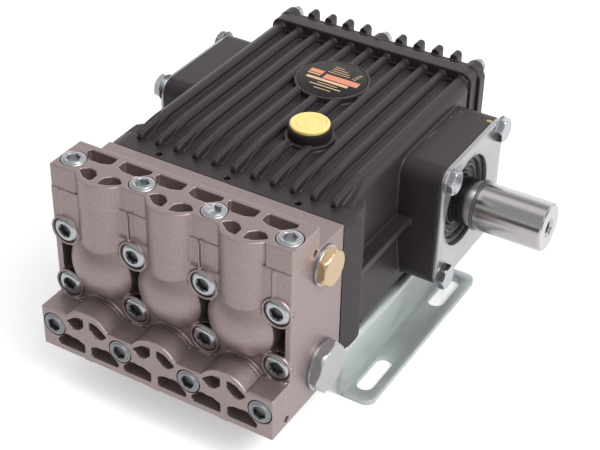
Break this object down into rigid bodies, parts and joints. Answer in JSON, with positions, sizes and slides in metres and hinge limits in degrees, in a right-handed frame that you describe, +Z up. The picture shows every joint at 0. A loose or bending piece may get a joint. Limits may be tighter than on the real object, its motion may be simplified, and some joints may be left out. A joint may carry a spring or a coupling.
{
  "type": "high-pressure plunger pump",
  "caption": "Crankshaft-driven plunger pump with a finned crankcase, a plated manifold with bolted valve covers, a solid drive shaft and two slotted mounting rails.",
  "frame": {"origin": "middle of the footprint of the whole pump, on the ground under the rails", "axes": "+X along the crankshaft towards the free shaft end, +Y from the manifold to the rear cover, +Z up"},
  "size_m": [0.2022, 0.2112, 0.113],
  "materials": {
    "black_paint": "satin",
    "nickel": "satin",
    "zinc_screw": "satin",
    "bright_plate": "satin",
    "shaft_steel": "ground",
    "rail_zinc": "dull",
    "brass": "satin",
    "seal_rubber": "matte",
    "black_plastic": "matte",
    "yellow_plastic": "semi-gloss"
  },
  "bodies": {
    "pump": {"crankcase": "black_paint", "rear_cover": "black_paint", "rear_cover_screws": "zinc_screw", "drain_plug": "zinc_screw", "manifold": "nickel", "discharge_cover": "nickel", "inlet_cover": "nickel", "discharge_cover_screws": "zinc_screw", "inlet_cover_screws": "zinc_screw", "upper_manifold_screws": "zinc_screw", "lower_manifold_screws": "zinc_screw", "discharge_plug": "brass", "discharge_plug_washer": "zinc_screw", "inlet_plug": "bright_plate", "inlet_plug_washer": "zinc_screw", "bearing_flange": "bright_plate", "bearing_flange_bolts": "zinc_screw", "shaft_seal": "seal_rubber", "closed_bearing_cover": "bright_plate", "closed_cover_bolts": "zinc_screw", "sight_glass": "zinc_screw", "filler_neck": "black_plastic", "filler_cap": "yellow_plastic", "label_plate": "black_plastic", "right_rail": "rail_zinc", "left_rail": "rail_zinc", "rail_bolts": "zinc_screw"},
    "crankshaft": {"drive_shaft": "shaft_steel", "shaft_ring": "shaft_steel"}
  },
  "joints": [
    {"name": "crankshaft_spin", "type": "hinge", "parent": "pump", "child": "crankshaft", "pos_m": [0.0667, 0.0444, 0.0662], "axis": [1, 0, 0], "continuous": true}
  ]
}
